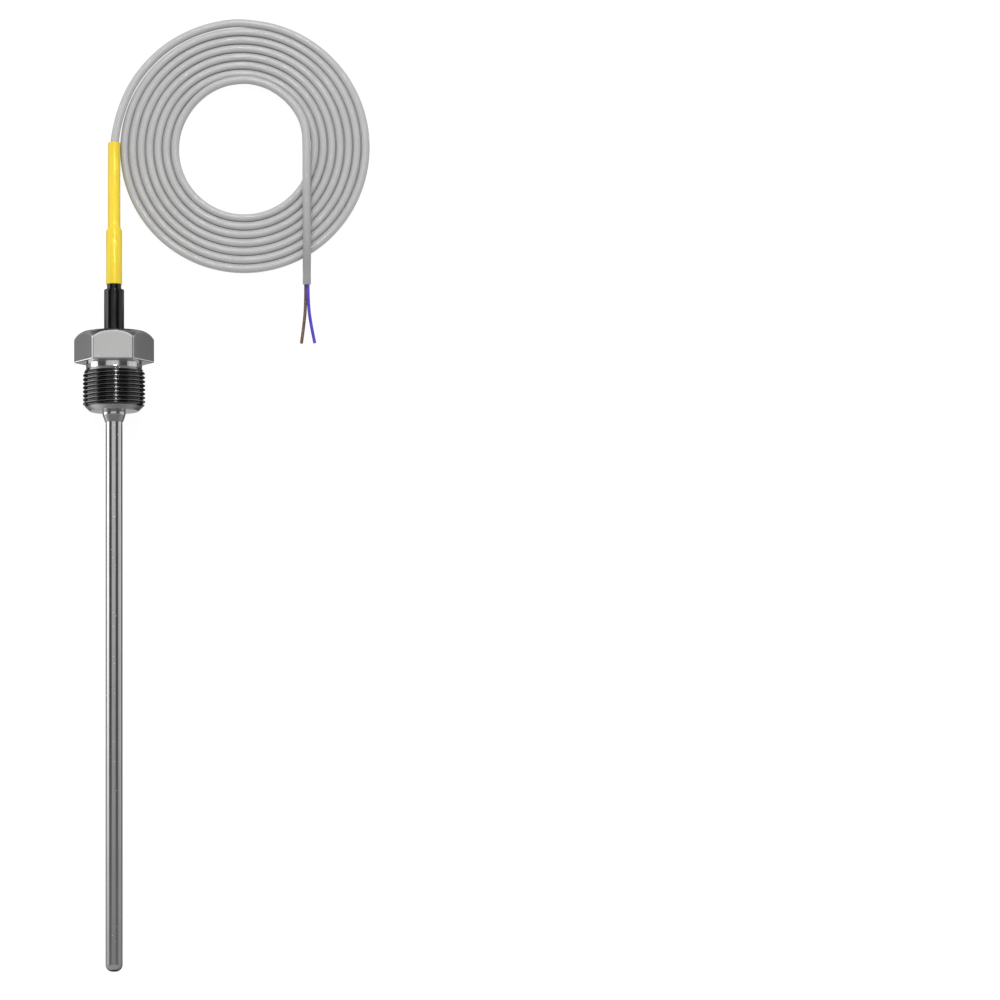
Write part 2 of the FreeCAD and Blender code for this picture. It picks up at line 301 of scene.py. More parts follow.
class Number:
    """A shader value. Arithmetic on it adds Math nodes to its sheet."""

    def __init__(self, sheet: "Sheet", socket: bpy.types.NodeSocket) -> None:
        """Wraps an output socket of a sheet."""
        self.sheet = sheet
        self.socket = socket

    def maths(self, operation: str, *operands: Any) -> "Number":
        """Adds one Math node and returns its value."""
        return self.sheet.node("ShaderNodeMath", {"operation": operation}, dict(enumerate(operands)))

    def __add__(self, other: Any) -> "Number":
        """Sum with a value or number."""
        return self.maths("ADD", self, other)

    def __sub__(self, other: Any) -> "Number":
        """Difference from a value or number."""
        return self.maths("SUBTRACT", self, other)

    def __rsub__(self, other: Any) -> "Number":
        """A number less this value."""
        return self.maths("SUBTRACT", other, self)

    def __mul__(self, other: Any) -> "Number":
        """Product with a value or number."""
        return self.maths("MULTIPLY", self, other)

    __radd__ = __add__

    def larger(self, other: "Number") -> "Number":
        """The larger of two values."""
        return self.maths("MAXIMUM", self, other)

    def hypot(self, other: "Number") -> "Number":
        """Length of two values at right angles."""
        return self.maths("SQRT", self * self + other * other)

    def degrees_from(self, other: "Number") -> "Number":
        """Angle of this value beside another, in degrees from the other's axis."""
        return self.maths("ARCTAN2", self, other) * math.degrees(1.0)

    def sway(self, amount: float) -> "Number":
        """A noise's departure from its middle, times an amount."""
        return (self - 0.5) * amount

    def step(self, start: float, end: float) -> "Number":
        """Smooth step from 0 at start to 1 at end, which may be the lower of the two."""
        return self.sheet.node("ShaderNodeMapRange", {"interpolation_type": "SMOOTHSTEP"},
                               {"Value": self, "From Min": start, "From Max": end})

    def ramp(self, start: float, end: float, height: float) -> "Number":
        """Smooth step from 0 at start to a height at end."""
        return self.step(start, end) * height

    def band(self, low: float, high: float, blur: float) -> "Number":
        """1 between two bounds and 0 outside them, with soft ends."""
        return self.step(low - blur, low + blur) - self.step(high - blur, high + blur)


class Sheet:
    """A node tree that is filled one node at a time."""

    def __init__(self, tree: bpy.types.NodeTree) -> None:
        """Empties the tree."""
        self.tree = tree
        tree.nodes.clear()

    @classmethod
    def of_material(cls, name: str) -> tuple[bpy.types.Material, "Sheet"]:
        """Makes a material.

        Args:
            name: The material's name.

        Returns:
            The material and its empty sheet.
        """
        material = bpy.data.materials.new(name)
        material.use_nodes = True
        return material, cls(material.node_tree)

    def node(self, kind: str, settings: dict | None = None, inputs: dict | None = None,
             output: int | str = 0) -> Number:
        """Adds any node.

        Args:
            kind: The node's type.
            settings: Its properties, set first.
            inputs: Numbers, colours or other nodes' values for its sockets.
            output: The socket that is returned.

        Returns:
            The chosen output as a value.
        """
        node = self.tree.nodes.new(kind)
        for key, value in (settings or {}).items():
            setattr(node, key, value)
        for key, value in (inputs or {}).items():
            if isinstance(value, Number):
                self.tree.links.new(value.socket, node.inputs[key])
            else:
                node.inputs[key].default_value = value
        return Number(self, node.outputs[output] if node.outputs else None)

    def frame_place(self) -> Number:
        """Place in the frame, in metres."""
        return self.node("ShaderNodeTexCoord", output="Object")

    def bench_place(self) -> Number:
        """Place on the upright bench, in millimetres."""
        return self.node("ShaderNodeMapping", {"vector_type": "TEXTURE"}, {
            "Vector": self.frame_place(), "Location": AXIS.origin, "Rotation": AXIS.turn, "Scale": (MM,) * 3})

    def parts(self, vector: Number) -> tuple[Number, Number, Number]:
        """The three numbers of a vector."""
        split = self.node("ShaderNodeSeparateXYZ", inputs={"Vector": vector})
        return tuple(Number(self, s) for s in split.socket.node.outputs)

    def noise(self, place: Number, scale: float, detail: float = 3.0, stretch: Point3 = (1, 1, 1)) -> Number:
        """Noise between 0 and 1 about 0.5.

        Args:
            place: The coordinates.
            scale: Repeats for each unit of the coordinates.
            detail: Octaves.
            stretch: Extra factors for each axis.

        Returns:
            The noise value.
        """
        vector = self.node("ShaderNodeVectorMath", {"operation": "MULTIPLY"}, {0: place, 1: stretch})
        return self.node("ShaderNodeTexNoise", inputs={"Vector": vector, "Scale": scale, "Detail": detail})

    def blend(self, factor: Number, first: Any, second: Any) -> Number:
        """Mixes two colours.

        Args:
            factor: 0 for the first and 1 for the second.
            first: A colour or a value.
            second: A colour or a value.

        Returns:
            The mixed colour.
        """
        rgba = [c if isinstance(c, Number) else (*c, 1.0) for c in (first, second)]
        mix = {"data_type": "RGBA", "clamp_factor": True}
        return self.node("ShaderNodeMix", mix, {0: factor, 6: rgba[0], 7: rgba[1]}, output=2)

    def bump(self, height: Number, depth: float) -> Number:
        """Normal of a surface with a height of some metres' depth."""
        return self.node("ShaderNodeBump", inputs={"Height": height, "Distance": depth})

    def surface(self, **inputs: Any) -> None:
        """Ends a material with one principled shader; underlines stand for spaces in socket names."""
        named = {key.replace("_", " ").replace("Ior", "IOR"): value for key, value in inputs.items()}
        self.end(self.node("ShaderNodeBsdfPrincipled", inputs=named))

    def end(self, shader: Number, kind: str = "Material") -> None:
        """Puts a shader out as the surface of a material or world."""
        self.node(f"ShaderNodeOutput{kind}", inputs={"Surface": shader})


@dataclass(frozen=True)
class FittingSteel:
    """Turned and milled steel, with painted shade on the thread and on the turned faces.
    The thread is darkest in its grooves, the turned faces are rougher too, and a painted
    highlight runs along the top edge of the flats.

    Bounds are heights and radii on the bench. The chamfer's edge is a radius less a height, and
    the edges of the crown and of the painted highlight are distances from the centre of the crown's arc.
    """

    colour: Colour = (0.66, 0.66, 0.655)
    # painted shade on the thread, darkest at its roots and lighter on its crests
    painted_groove_shade: Colour = (0.11, 0.11, 0.11)
    crest: Colour = (0.2, 0.2, 0.2)
    # painted highlight along the top edge of the flats below the crown
    rim_highlight: Colour = (0.86, 0.86, 0.855)
    # colour of the turned faces, painted darker as shade; they are rougher too
    turned: Colour = (0.4, 0.4, 0.398)
    roughness: float = 0.12
    turned_roughness: float = 0.4
    thread_roughness: float = 0.1
    crown_gloss: float = 0.5
    thread: Band = (-15.95, -3.1, 0.05)
    shade_to_crest: Edge = (10.55, 11.15)
    chamfer: Band = (-17.45, -15.95, 0.05)
    chamfer_edge: Edge = (26.05, 26.11)
    neck: Band = (-17.95, -17.42, 0.03)
    cone_top: Edge = (-18.9, -19.0)
    sealing_face: Band = (-0.12, 0.0, 0.03)
    crown_centre: Point2 = (8.69, 5.05)
    crown_edge: Edge = (6.42, 6.47)
    rim_highlight_edge: Edge = (6.0, 6.25)
    crown_foot: Edge = (7.4, 7.5)
    crown_inside: Edge = (11.1, 11.2)
    ring_scale: float = 9.0
    ring_stretch: Point3 = (0.02, 0.02, 1.0)
    ring_depth: float = 0.004 * MM
    ring_gloss: float = 0.06
    cloud_scale: float = 0.35
    cloud_detail: float = 4.0
    cloud_gloss: float = 0.08

    def paint(self, sheet: Sheet) -> None:
        """Fills the sheet with fine turning lines, painted shade on the thread and the turned faces,
        a painted highlight along the top edge of the flats and a cloudy gloss.

        Args:
            sheet: The material's sheet.
        """
        place = sheet.bench_place()
        x, y, z = sheet.parts(place)
        radius = x.hypot(y)
        rings = sheet.noise(place, self.ring_scale, stretch=self.ring_stretch)
        clouds = sheet.noise(place, self.cloud_scale, self.cloud_detail)
        chamfer = (radius - z).step(*self.chamfer_edge) * z.band(*self.chamfer)
        on_top = z.step(*self.crown_foot) * radius.step(*self.crown_inside)
        reach = (radius - self.crown_centre[0]).hypot(z - self.crown_centre[1])
        crown = reach.step(*self.crown_edge) * on_top
        # a thin band along the top edge of the flats is painted lighter as a highlight
        rim_highlight = reach.step(*self.rim_highlight_edge) * on_top
        # turned faces are rougher, and their colour is painted darker as shade
        turned = chamfer + z.step(*self.cone_top) + z.band(*self.neck) + crown + z.band(*self.sealing_face)
        # the thread is painted dark as shade, darker in its grooves than on its crests
        thread = z.band(*self.thread)
        thread_shade = sheet.blend(radius.step(*self.shade_to_crest), self.painted_groove_shade, self.crest)
        bright = sheet.blend(rim_highlight, self.colour, self.rim_highlight)
        colour = sheet.blend(thread, sheet.blend(turned, bright, self.turned), thread_shade)
        dull = (turned - crown * self.crown_gloss) * (self.turned_roughness - self.roughness)
        dull = dull + thread * (self.thread_roughness - self.roughness)
        roughness = self.roughness + dull + clouds.sway(self.cloud_gloss) + rings.sway(self.ring_gloss)
        sheet.surface(Base_Color=colour, Metallic=1.0, Roughness=roughness,
                      Normal=sheet.bump(rings, self.ring_depth))


@dataclass(frozen=True)
class Grained:
    """Colour that drifts to a second one in soft patches, with a fine grain as a bump.

    As it stands it is moulded, extruded or shrunk plastic.
    """

    colour: Colour
    second: Colour
    roughness: float = 0.45
    metallic: float = 0.0
    gloss: float = 0.5
    grain: float = 900.0
    grain_stretch: Point3 = (1.0, 1.0, 1.0)
    grain_depth: float = 0.01 * MM
    grain_sway: float = 0.1
    patches: float = 90.0
    patch_detail: float = 3.0
    patch_edge: Edge = (0.3, 0.7)
    patch_sway: float = 0.12

    def place(self, sheet: Sheet) -> Number:
        """Coordinates of the patches and the grain."""
        return sheet.frame_place()

    def tint(self, sheet: Sheet, colour: Number) -> Number:
        """Leaves the colour as it is; a finish with painted shade changes it."""
        return colour

    def paint(self, sheet: Sheet) -> None:
        """Fills the sheet with soft patches, grain and an uneven gloss.

        Args:
            sheet: The material's sheet.
        """
        place = self.place(sheet)
        patches = sheet.noise(place, self.patches, self.patch_detail)
        grain = sheet.noise(place, self.grain, stretch=self.grain_stretch)
        colour = self.tint(sheet, sheet.blend(patches.step(*self.patch_edge), self.colour, self.second))
        roughness = self.roughness + patches.sway(self.patch_sway) + grain.sway(self.grain_sway)
        sheet.surface(Base_Color=colour, Metallic=self.metallic, Roughness=roughness,
                      Specular_Ior_Level=self.gloss, Normal=sheet.bump(grain, self.grain_depth))


@dataclass(frozen=True)
class StemSteel(Grained):
    """Bright drawn tube with faint lines along it and a few smudges."""

    colour: Colour = (0.66, 0.66, 0.655)
    second: Colour = (0.6204, 0.6204, 0.6157)
    roughness: float = 0.13
    metallic: float = 1.0
    grain: float = 3.0
    grain_stretch: Point3 = (4.0, 4.0, 0.02)
    grain_depth: float = 0.002 * MM
    grain_sway: float = 0.06
    patches: float = 0.12
    patch_edge: Edge = (0.35, 0.75)
    patch_sway: float = 0.06

    def place(self, sheet: Sheet) -> Number:
        """Coordinates along the sensor's axis."""
        return sheet.bench_place()


@dataclass(frozen=True)
class Metal(Grained):
    """Small drawn or plated metal part with patches of tarnish."""

    roughness: float = 0.3
    metallic: float = 1.0
    grain: float = 2500.0
    grain_depth: float = 0.004 * MM
    grain_sway: float = 0.15
    patches: float = 312.5
    patch_detail: float = 2.0
    patch_edge: Edge = (0.35, 0.7)
    patch_sway: float = 0.0


@dataclass(frozen=True)
class Jacket(Grained):
    """Cable jacket with painted shade on its free end and between the turns of its coil.

    Bounds are places in the frame, in metres.
    """

    # painted shade on the free end, darker towards its end
    painted_tail_shade: Colour = (0.35, 0.35, 0.35)
    tail_shade_fade: Edge = (0.155, 0.1)
    above_coil: Edge = (0.003, 0.0034)
    beyond_coil: Edge = (0.1015, 0.0995)
    # painted shade low between the turns of the coil
    coil_shade: Colour = (0.3, 0.3, 0.3)
    coil_shade_height: Edge = (0.0026, 0.0019)
    coil_centre: Point2 = (0.0461, 0.1483)
    coil_ring: Band = (0.0248, 0.0445, 0.0003)

    def tint(self, sheet: Sheet, colour: Number) -> Number:
        """Paints shade on the end that lies on the coil and leaves it, and in the grooves of the coil.

        Args:
            sheet: The material's sheet.
            colour: The clean jacket's colour.

        Returns:
            The colour with its painted shade.
        """
        x, y, z = sheet.parts(sheet.frame_place())
        # the end that lies on the coil and leaves it is painted darker as shade, more towards its end
        loose = z.step(*self.above_coil).larger(y.step(*self.beyond_coil))
        painted_tail_shade = sheet.blend(loose * y.step(*self.tail_shade_fade), colour, self.painted_tail_shade)
        # painted shade low in the grooves between the turns of the coil
        radius = (x - self.coil_centre[0]).hypot(y - self.coil_centre[1])
        painted_groove_shade = radius.band(*self.coil_ring) * z.step(*self.coil_shade_height)
        return sheet.blend(painted_groove_shade, painted_tail_shade, self.coil_shade)


FINISHES = {
    "fitting_steel": FittingSteel(),
    "stem_steel": StemSteel(),
    "black_sleeve": Grained((0.0015, 0.0015, 0.0016), (0.003, 0.003, 0.0031), 0.18,
                            gloss=0.48, grain_depth=0.004 * MM),
    "yellow_label": Grained((0.92, 0.69, 0.045), (0.9, 0.66, 0.038), 0.38, patches=160.0),
    "grey_jacket": Jacket((0.51, 0.51, 0.51), (0.49, 0.49, 0.492), 0.36, gloss=0.4),
    "brown_insulation": Grained((0.15, 0.098, 0.066), (0.12, 0.078, 0.052), 0.4),
    "violet_insulation": Grained((0.1, 0.06, 0.62), (0.085, 0.048, 0.54), 0.4),
    "copper": Metal((0.72, 0.38, 0.22), (0.58, 0.3, 0.18)),
    "tinned_crimp": Metal((0.7, 0.68, 0.64), (0.6, 0.58, 0.55)),
    "splice_tube": Grained((0.8, 0.79, 0.75), (0.75, 0.74, 0.7)),
    "nickel_lead": Metal((0.65, 0.63, 0.6), (0.56, 0.54, 0.52)),
    "chip_ceramic": Grained((0.85, 0.85, 0.82), (0.8, 0.8, 0.78), 0.6),
    "chip_glaze": Grained((0.3, 0.42, 0.46), (0.26, 0.38, 0.42), 0.15),
    "heat_paste": Grained((0.78, 0.78, 0.76), (0.73, 0.73, 0.71), 0.55),
    "potting_resin": Grained((0.05, 0.035, 0.02), (0.04, 0.028, 0.016), 0.25),
}


class PaintShop:
    """Makes each finish once and puts it on pieces."""

    def __init__(self) -> None:
        """Starts with no material made."""
        self.made: dict[str, bpy.types.Material] = {}

    def coat(self, piece: Piece, slot: str) -> None:
        """Makes the finish of a record's slot a piece's only material.

        Args:
            piece: The piece.
            slot: The record's slot.
        """
        if slot not in self.made:
            self.made[slot], sheet = Sheet.of_material(slot)
            FINISHES[slot].paint(sheet)
        piece.data.materials.clear()
        piece.data.materials.append(self.made[slot])

    def dress(self, piece: Piece, slot: str, *nodes: str) -> Piece:
        """Gives a new piece its finish and its place on the body.

        Args:
            piece: The finished piece.
            slot: The record's slot for its finish.
            nodes: The solids that it stands for.

        Returns:
            The piece.
        """
        self.coat(piece, slot)
        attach(piece, BODY)
        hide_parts(*nodes)
        LOG.info("%s dressed in %s", piece.name, slot)
        return piece

    def dress_solids(self, record: dict, nodes: dict[str, Piece]) -> None:
        """Puts the finishes on the solids that stay in view or inside."""
        for part in record["subparts"]:
            self.coat(nodes[part["node"]], part["material_slot"])


@dataclass
class ThreadedFitting:
    """One turned piece with hexagon, undercut, thread, end face and tapered nose.

    The corner of the nose is given as steps inwards and up from where collar and cone meet.
    """

    shop: PaintShop
    across_flats: float = 25.0
    hex_height: float = 11.05
    hex_edge: float = 0.45
    hex_edge_steps: int = 5
    crown_diameter: float = 22.4
    crown_radius: float = 6.5
    crown_slope: float = 22.7
    crown_facets: int = 144
    undercut_diameter: float = 20.0
    undercut_length: float = 2.6
    undercut_round: float = 0.7
    runout_top: float = -1.95
    runout_slope: float = 31.0
    thread_diameter: float = 22.3
    thread_length: float = 14.8
    thread_chamfer: float = 2.4
    thread_pitch: float = 1.46
    thread_angle: float = 60.0
    crest_round: float = 0.22
    root_round: float = 0.2
    first_crest: float = -3.85
    turns_above: int = 3
    nose_diameter: float = 8.3
    nose_collar: float = 1.5
    nose_corner: Sequence[Point2] = ((0.0, 0.35), (0.04, 0.1), (0.14, -0.15))
    nose_cone: float = 2.4
    nose_end_diameter: float = 6.4
    bore_diameter: float = 6.1
    overlap: float = 1.0
    facets: int = 96
    soft_angle: float = 35.0
    flat_tolerance: float = 0.001
    upright_tolerance: float = 0.01

    @property
    def end_face(self) -> float:
        """Height of the thread's end face."""
        return -(self.undercut_length + self.thread_length)

    def make_hexagon(self) -> Piece:
        """Hexagon with rounded edges, its corners at the sides, and a turned crown.

        Returns:
            The hexagon, which the other forms are joined to.
        """
        depth = self.hex_height + self.overlap
        Bench.clear()
        bpy.ops.mesh.primitive_cylinder_add(
            vertices=6, radius=self.across_flats / math.sqrt(3), depth=depth,
            location=(0, 0, depth / 2), rotation=(0, 0, FULL_TURN / 12))
        hexagon = Bench.started("threaded_fitting_body")
        Bench.edit("DESELECT")
        Bench.leave_edit()
        for edge in hexagon.data.edges:
            low, high = (hexagon.data.vertices[v].co for v in edge.vertices)
            edge.select = abs(low.z - high.z) > self.overlap
        bpy.ops.object.mode_set(mode="EDIT")
        bpy.ops.mesh.select_mode(type="EDGE")
        bpy.ops.mesh.bevel(offset=self.hex_edge, segments=self.hex_edge_steps, affect="EDGES")
        Bench.leave_edit()
        Bench.join(hexagon, self.make_crown(), Joining.KEEP_COMMON)
        return hexagon

    def make_crown(self) -> Piece:
        """Turned blank whose rounded crown takes off the hexagon's upper corners.

        Returns:
            The blank.
        """
        end = 90 - self.crown_slope
        centre = (self.crown_diameter / 2 - self.crown_radius * math.cos(math.radians(end)),
                  self.hex_height - self.crown_radius * math.sin(math.radians(end)))
        side = (centre[0] + self.crown_radius, -self.overlap)
        crown = arc(centre, self.crown_radius, 0, end, 12)
        outline = [(0, -self.overlap), side, *crown, (0, self.hex_height)]
        return Bench.turn("crown_blank", outline, self.crown_facets)

    def make_thread(self) -> Piece:
        """Screwed bar with rounded crests and roots, cut to its envelope.

        Returns:
            The thread with the undercut above it.
        """
        crest, bend, hollow = self.thread_diameter / 2, self.crest_round, self.root_round
        half, flank = self.thread_pitch / 2, 90 - self.thread_angle / 2
        root = crest - half / math.tan(math.radians(self.thread_angle / 2)) + bend + hollow
        turns = math.ceil((self.overlap - self.end_face) / self.thread_pitch) + self.turns_above + 1
        low = self.first_crest - (turns - self.turns_above) * self.thread_pitch
        bar = Bench.trace("thread_bar", [
            *arc((root + hollow, low - half), hollow, 180, 180 - flank, 4),
            *arc((crest - bend, low), bend, -flank, flank, 10),
            *arc((root + hollow, low + half), hollow, 180 + flank, 180, 4)])
        Bench.finish_modifier(bar, "SCREW", angle=FULL_TURN, screw_offset=self.thread_pitch, iterations=turns,
                              steps=self.facets, render_steps=self.facets, axis="Z")
        Bench.edit()
        Bench.close_seams(fill=True)
        Bench.join(bar, self.make_envelope(), Joining.KEEP_COMMON)
        return bar

    def make_envelope(self) -> Piece:
        """Turned form of undercut, run-out, chamfer and end face that the screwed bar is cut to.

        Returns:
            The solid that the bar keeps within.
        """
        crest, neck = self.thread_diameter / 2, self.undercut_diameter / 2
        clear, foot = crest + self.crest_round, crest - self.thread_chamfer
        runout = arc((neck + self.undercut_round, self.runout_top), self.undercut_round,
                     180, 180 + self.runout_slope)
        runout_end = runout[-1][1] - (clear - runout[-1][0]) / math.tan(math.radians(self.runout_slope))
        outline = [(0, self.overlap), (neck, self.overlap), *runout, (clear, runout_end),
                   (clear, self.end_face + clear - foot), (foot, self.end_face), (0, self.end_face)]
        return Bench.turn("thread_envelope", outline, self.facets)

    def make_nose(self) -> Piece:
        """Collar and cone round the stem below the end face.

        Returns:
            The nose.
        """
        collar_end, top = self.end_face - self.nose_collar, self.end_face + self.overlap
        radius, low = self.nose_diameter / 2, collar_end - self.nose_cone
        corner = [(radius - inwards, collar_end + up) for inwards, up in self.nose_corner]
        outline = [(0, top), (radius, top), *corner, (self.nose_end_diameter / 2, low), (0, low)]
        return Bench.turn("nose", outline, self.facets)

    def make_bore(self) -> Piece:
        """Tool for the hole that the stem passes through.

        Returns:
            The tool.
        """
        low = self.end_face - self.nose_collar - self.nose_cone - self.overlap
        high = self.hex_height + self.overlap
        Bench.clear()
        bpy.ops.mesh.primitive_cylinder_add(vertices=self.facets, radius=self.bore_diameter / 2,
                                            depth=high - low, location=(0, 0, (high + low) / 2))
        return Bench.started("bore_tool")

    def flatten(self, fitting: Piece) -> None:
        """Shades the six flats and the faces across the axis as planes.

        Args:
            fitting: The whole fitting, upright.
        """
        Bench.pick(fitting)
        for face in fitting.data.polygons:
            normal, centre = face.normal, face.center
            from_flat = abs(normal.x * centre.x + normal.y * centre.y - self.across_flats / 2)
            upright = centre.z > 0 and abs(normal.z) < self.upright_tolerance
            across = abs(normal.z) > 1 - self.flat_tolerance
            face.select = across or (upright and from_flat < self.flat_tolerance)
        bpy.ops.object.mode_set(mode="EDIT")
        bpy.ops.mesh.select_mode(type="FACE")
        bpy.ops.mesh.faces_shade_flat()
        Bench.leave_edit()

    def build(self) -> None:
        """Joins the forms of the fitting and dresses it."""
        fitting = self.make_hexagon()
        Bench.join(fitting, self.make_thread(), Joining.ADD)
        Bench.join(fitting, self.make_nose(), Joining.ADD)
        Bench.join(fitting, self.make_bore(), Joining.CUT)
        Bench.soften(fitting, self.soft_angle)
        self.flatten(fitting)
        Bench.settle(fitting, AXIS.place)
        self.shop.dress(fitting, "fitting_steel", "threaded_fitting")


@dataclass
class MeasuringStem:
    """Thin tube with a closed, rounded tip."""

    shop: PaintShop
    diameter: float = 6.0
    wall: float = 0.4
    tip: float = -217.4
    tip_thickness: float = 0.8
    tip_corner: float = 2.5
    top: float = 26.0
    soft_angle: float = 30.0

    def build(self) -> None:
        """Turns the tube inside and out and dresses it."""
        outer, inner = self.diameter / 2, self.diameter / 2 - self.wall
        corner, hollow = self.tip_corner, self.tip_corner - self.wall
        floor = self.tip + self.tip_thickness
        outside = arc((outer - corner, self.tip + corner), corner, -90, 0, 12)
        inside = arc((inner - hollow, floor + hollow), hollow, 0, -90, 8)
        outline = [(0, self.tip), *outside, (outer, self.top), (inner, self.top), *inside, (0, floor)]
        stem = Bench.turn("measuring_stem", outline)
        Bench.soften(stem, self.soft_angle)
        Bench.settle(stem, AXIS.place)
        self.shop.dress(stem, "stem_steel", "stem_tube")


@dataclass
class CableSleeves:
    """Black sleeve on the tube and the yellow shrunk label on the cable."""

    shop: PaintShop
    sleeve_foot: float = 11.05
    sleeve_top: float = 26.6
    sleeve_diameter: float = 7.2
    sleeve_bore: float = 6.1
    sleeve_mouth: float = 5.2
    sleeve_lip: float = 0.6
    sleeve_edge: float = 0.32
    sleeve_chamfer: float = 0.1
    label_foot: float = 28.5
    label_length: float = 55.5
    label_step: float = 20.15
    label_step_length: float = 1.1
    label_step_ease: Point2 = (0.08, 0.3)
    lower_diameter: float = 5.75
    lower_bore: float = 5.2
    upper_diameter: float = 4.5
    upper_bore: float = 3.1
    label_edge: float = 0.12
    label_facets: int = 72
    first_reach: float = 14.84
    last_reach: float = 13.32
    end_height: float = 3.5
    end_aside: float = -0.45
    ring_spacing: float = 0.7

    def build_sleeve(self) -> None:
        """Turns the black sleeve, which grips the tube and laps over its mouth."""
        outer, bore, mouth = self.sleeve_diameter / 2, self.sleeve_bore / 2, self.sleeve_mouth / 2
        foot, top, edge, chamfer = self.sleeve_foot, self.sleeve_top, self.sleeve_edge, self.sleeve_chamfer
        lip = top - self.sleeve_lip
        outline = [(bore, foot), (outer - chamfer, foot), (outer, foot + chamfer),
                   *arc((outer - edge, top - edge), edge, 0, 90),
                   (mouth, top), (mouth, lip), (bore, lip), (bore, foot)]
        sleeve = Bench.turn("black_sleeve_piece", outline)
        Bench.soften(sleeve)
        Bench.settle(sleeve, AXIS.place)
        self.shop.dress(sleeve, "black_sleeve", "outer_sleeve")

    def droop(self) -> Piece:
        """Curve that the label follows down to the floor, in millimetres.

        Returns:
            The curve's object.
        """
        foot = AXIS.station(self.label_foot) / MM
        along = (AXIS.station(self.label_foot + 1.0) / MM - foot).normalized()
        end = Vector((self.end_aside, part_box("label_sleeve")[1].y / MM, self.end_height))
        route = [foot, foot + along * self.first_reach, end - Vector((0, self.last_reach, 0)), end]
        return smooth_curve("label_droop", route)

    def build_label(self) -> None:
        """Turns the label straight, divides it into rings and lays it along its droop."""
        wide, narrow, edge = self.lower_diameter / 2, self.upper_diameter / 2, self.label_edge
        inner, mouth = self.lower_bore / 2, self.upper_bore / 2
        step, end = self.label_step, self.label_length
        shoulder = step + self.label_step_length
        aside, along = self.label_step_ease
        outline = [(inner, 0), (wide - edge, 0), (wide, edge), (wide, step - along), (wide - aside, step),
                   (narrow + aside, shoulder), (narrow, shoulder + along), (narrow, end - edge),
                   (narrow - edge, end), (mouth, end), (mouth, step), (inner, step), (inner, 0)]
        label = Bench.turn("yellow_label_piece", outline, self.label_facets)
        self.divide(label)
        droop = self.droop()
        Bench.finish_modifier(label, "CURVE", object=droop, deform_axis="POS_Z")
        bpy.data.objects.remove(droop)
        Bench.soften(label)
        Bench.settle(label, Matrix.Scale(MM, 4))
        self.shop.dress(label, "yellow_label", "label_sleeve")

    def divide(self, label: Piece) -> None:
        """Cuts the straight label into rings that can bend.

        Args:
            label: The turned label.
        """
        Bench.pick(label)
        Bench.edit()
        count = round(self.label_length / self.ring_spacing)
        for k in range(1, count):
            height = self.label_length * k / count
            bpy.ops.mesh.select_all(action="SELECT")
            bpy.ops.mesh.bisect(plane_co=(0, 0, height), plane_no=(0, 0, 1))
        Bench.close_seams()


def smooth_curve(name: str, route: Sequence[Vector], diameter: float | None = None) -> Piece:
    """Open smooth curve with the route's points as its control points.

    Args:
        name: The curve's name.
        route: The control points.
        diameter: Thickness of the round tube along it, if it has one.

    Returns:
        The curve's object.
    """
    curve = bpy.data.curves.new(name, "CURVE")
    curve.dimensions = "3D"
    curve.resolution_u = CURVE_STEPS
    spline = curve.splines.new("NURBS")
    spline.points.add(len(route) - 1)
    for point, place in zip(spline.points, route):
        point.co = (*place, 1.0)
        if diameter:
            point.radius = diameter / 2
    spline.order_u = 3
    spline.use_endpoint_u = True
    curve.bevel_depth = 1.0 if diameter else 0.0
    curve.bevel_resolution = CURVE_STEPS
    piece = bpy.data.objects.new(name, curve)
    bpy.context.scene.collection.objects.link(piece)
    return piece


